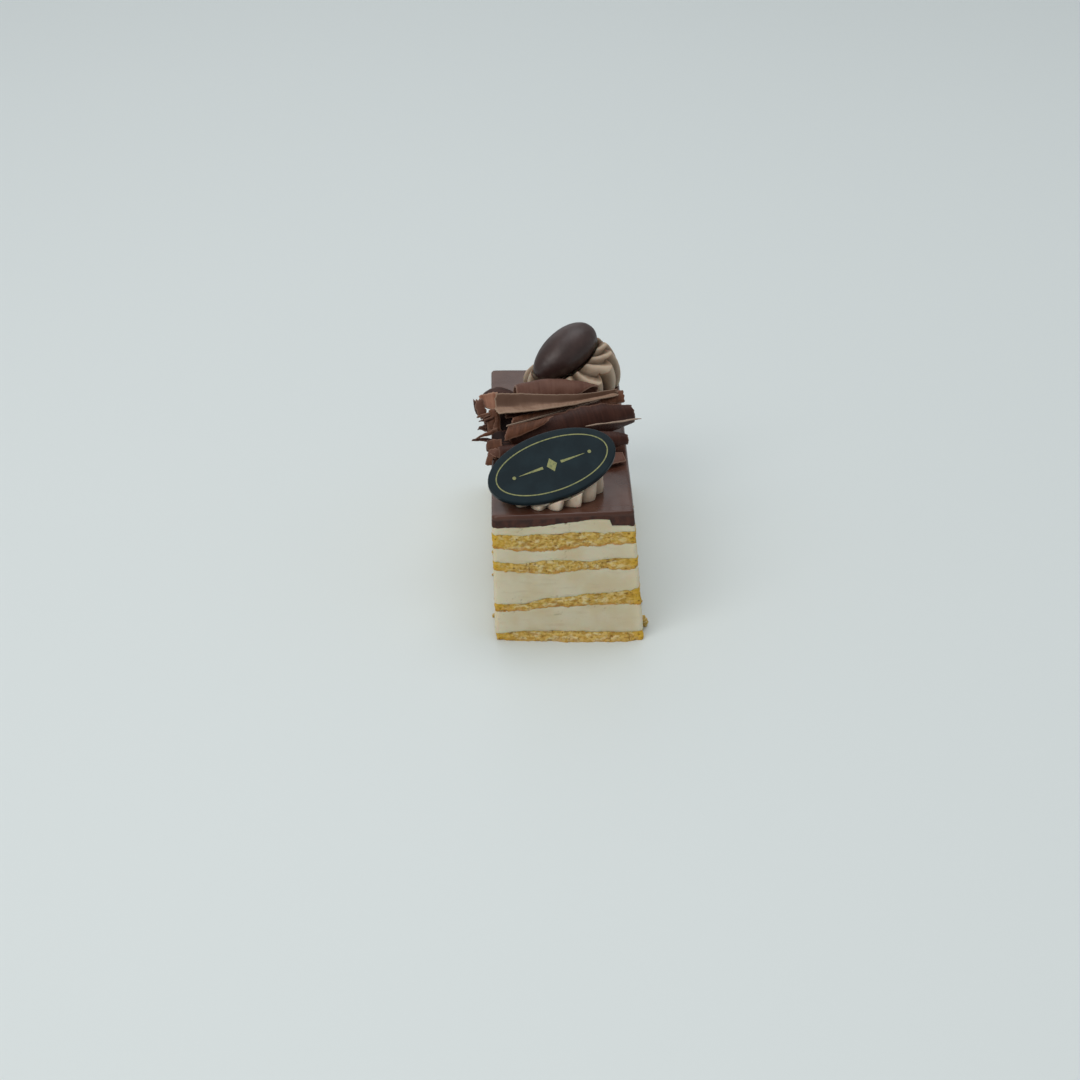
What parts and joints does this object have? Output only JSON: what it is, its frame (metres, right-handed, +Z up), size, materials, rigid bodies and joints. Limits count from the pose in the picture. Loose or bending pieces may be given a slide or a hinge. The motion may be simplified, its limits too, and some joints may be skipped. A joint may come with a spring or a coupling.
{
  "type": "opera cake slice",
  "caption": "Rectangular slice of layered sponge and coffee cream under chocolate ganache, topped with piped rosettes, chocolate shavings, an oval plaque and a coated almond.",
  "frame": {"origin": "middle of the slice's flat base", "axes": "+Z up, +Y along the slice from the front cut face to the back, +X to the right seen from the front"},
  "size_m": [0.0483, 0.1044, 0.0577],
  "materials": {
    "sponge": "open crumb",
    "cream": "smooth, slightly porous",
    "ganache": "soft gloss",
    "piped_cream_light": "satin",
    "piped_cream_mocha": "satin",
    "plaque": "satin",
    "almond": "satin",
    "shaving_dark": "satin",
    "shaving_brown": "satin",
    "shaving_matte": "matte"
  },
  "bodies": {
    "root": {"sponge_1": "sponge", "sponge_2": "sponge", "sponge_3": "sponge", "sponge_4": "sponge", "cream_1": "cream", "cream_2": "cream", "cream_3": "cream", "cream_4": "cream", "ganache": "ganache", "rosette_front": "piped_cream_light", "rosette_back": "piped_cream_mocha", "plaque": "plaque", "almond": "almond", "curl_ribbed": "shaving_dark", "curl_under": "shaving_dark", "curl_right": "shaving_dark", "shaving_strip": "shaving_dark", "shaving_left": "shaving_dark", "shaving_spike": "shaving_dark", "shaving_flap": "shaving_dark", "curl_arch": "shaving_brown", "curl_back": "shaving_brown", "curl_left": "shaving_brown", "curl_corner": "shaving_brown", "shaving_flat": "shaving_brown", "shaving_edge": "shaving_brown", "shaving_trough": "shaving_matte"}
  },
  "joints": []
}
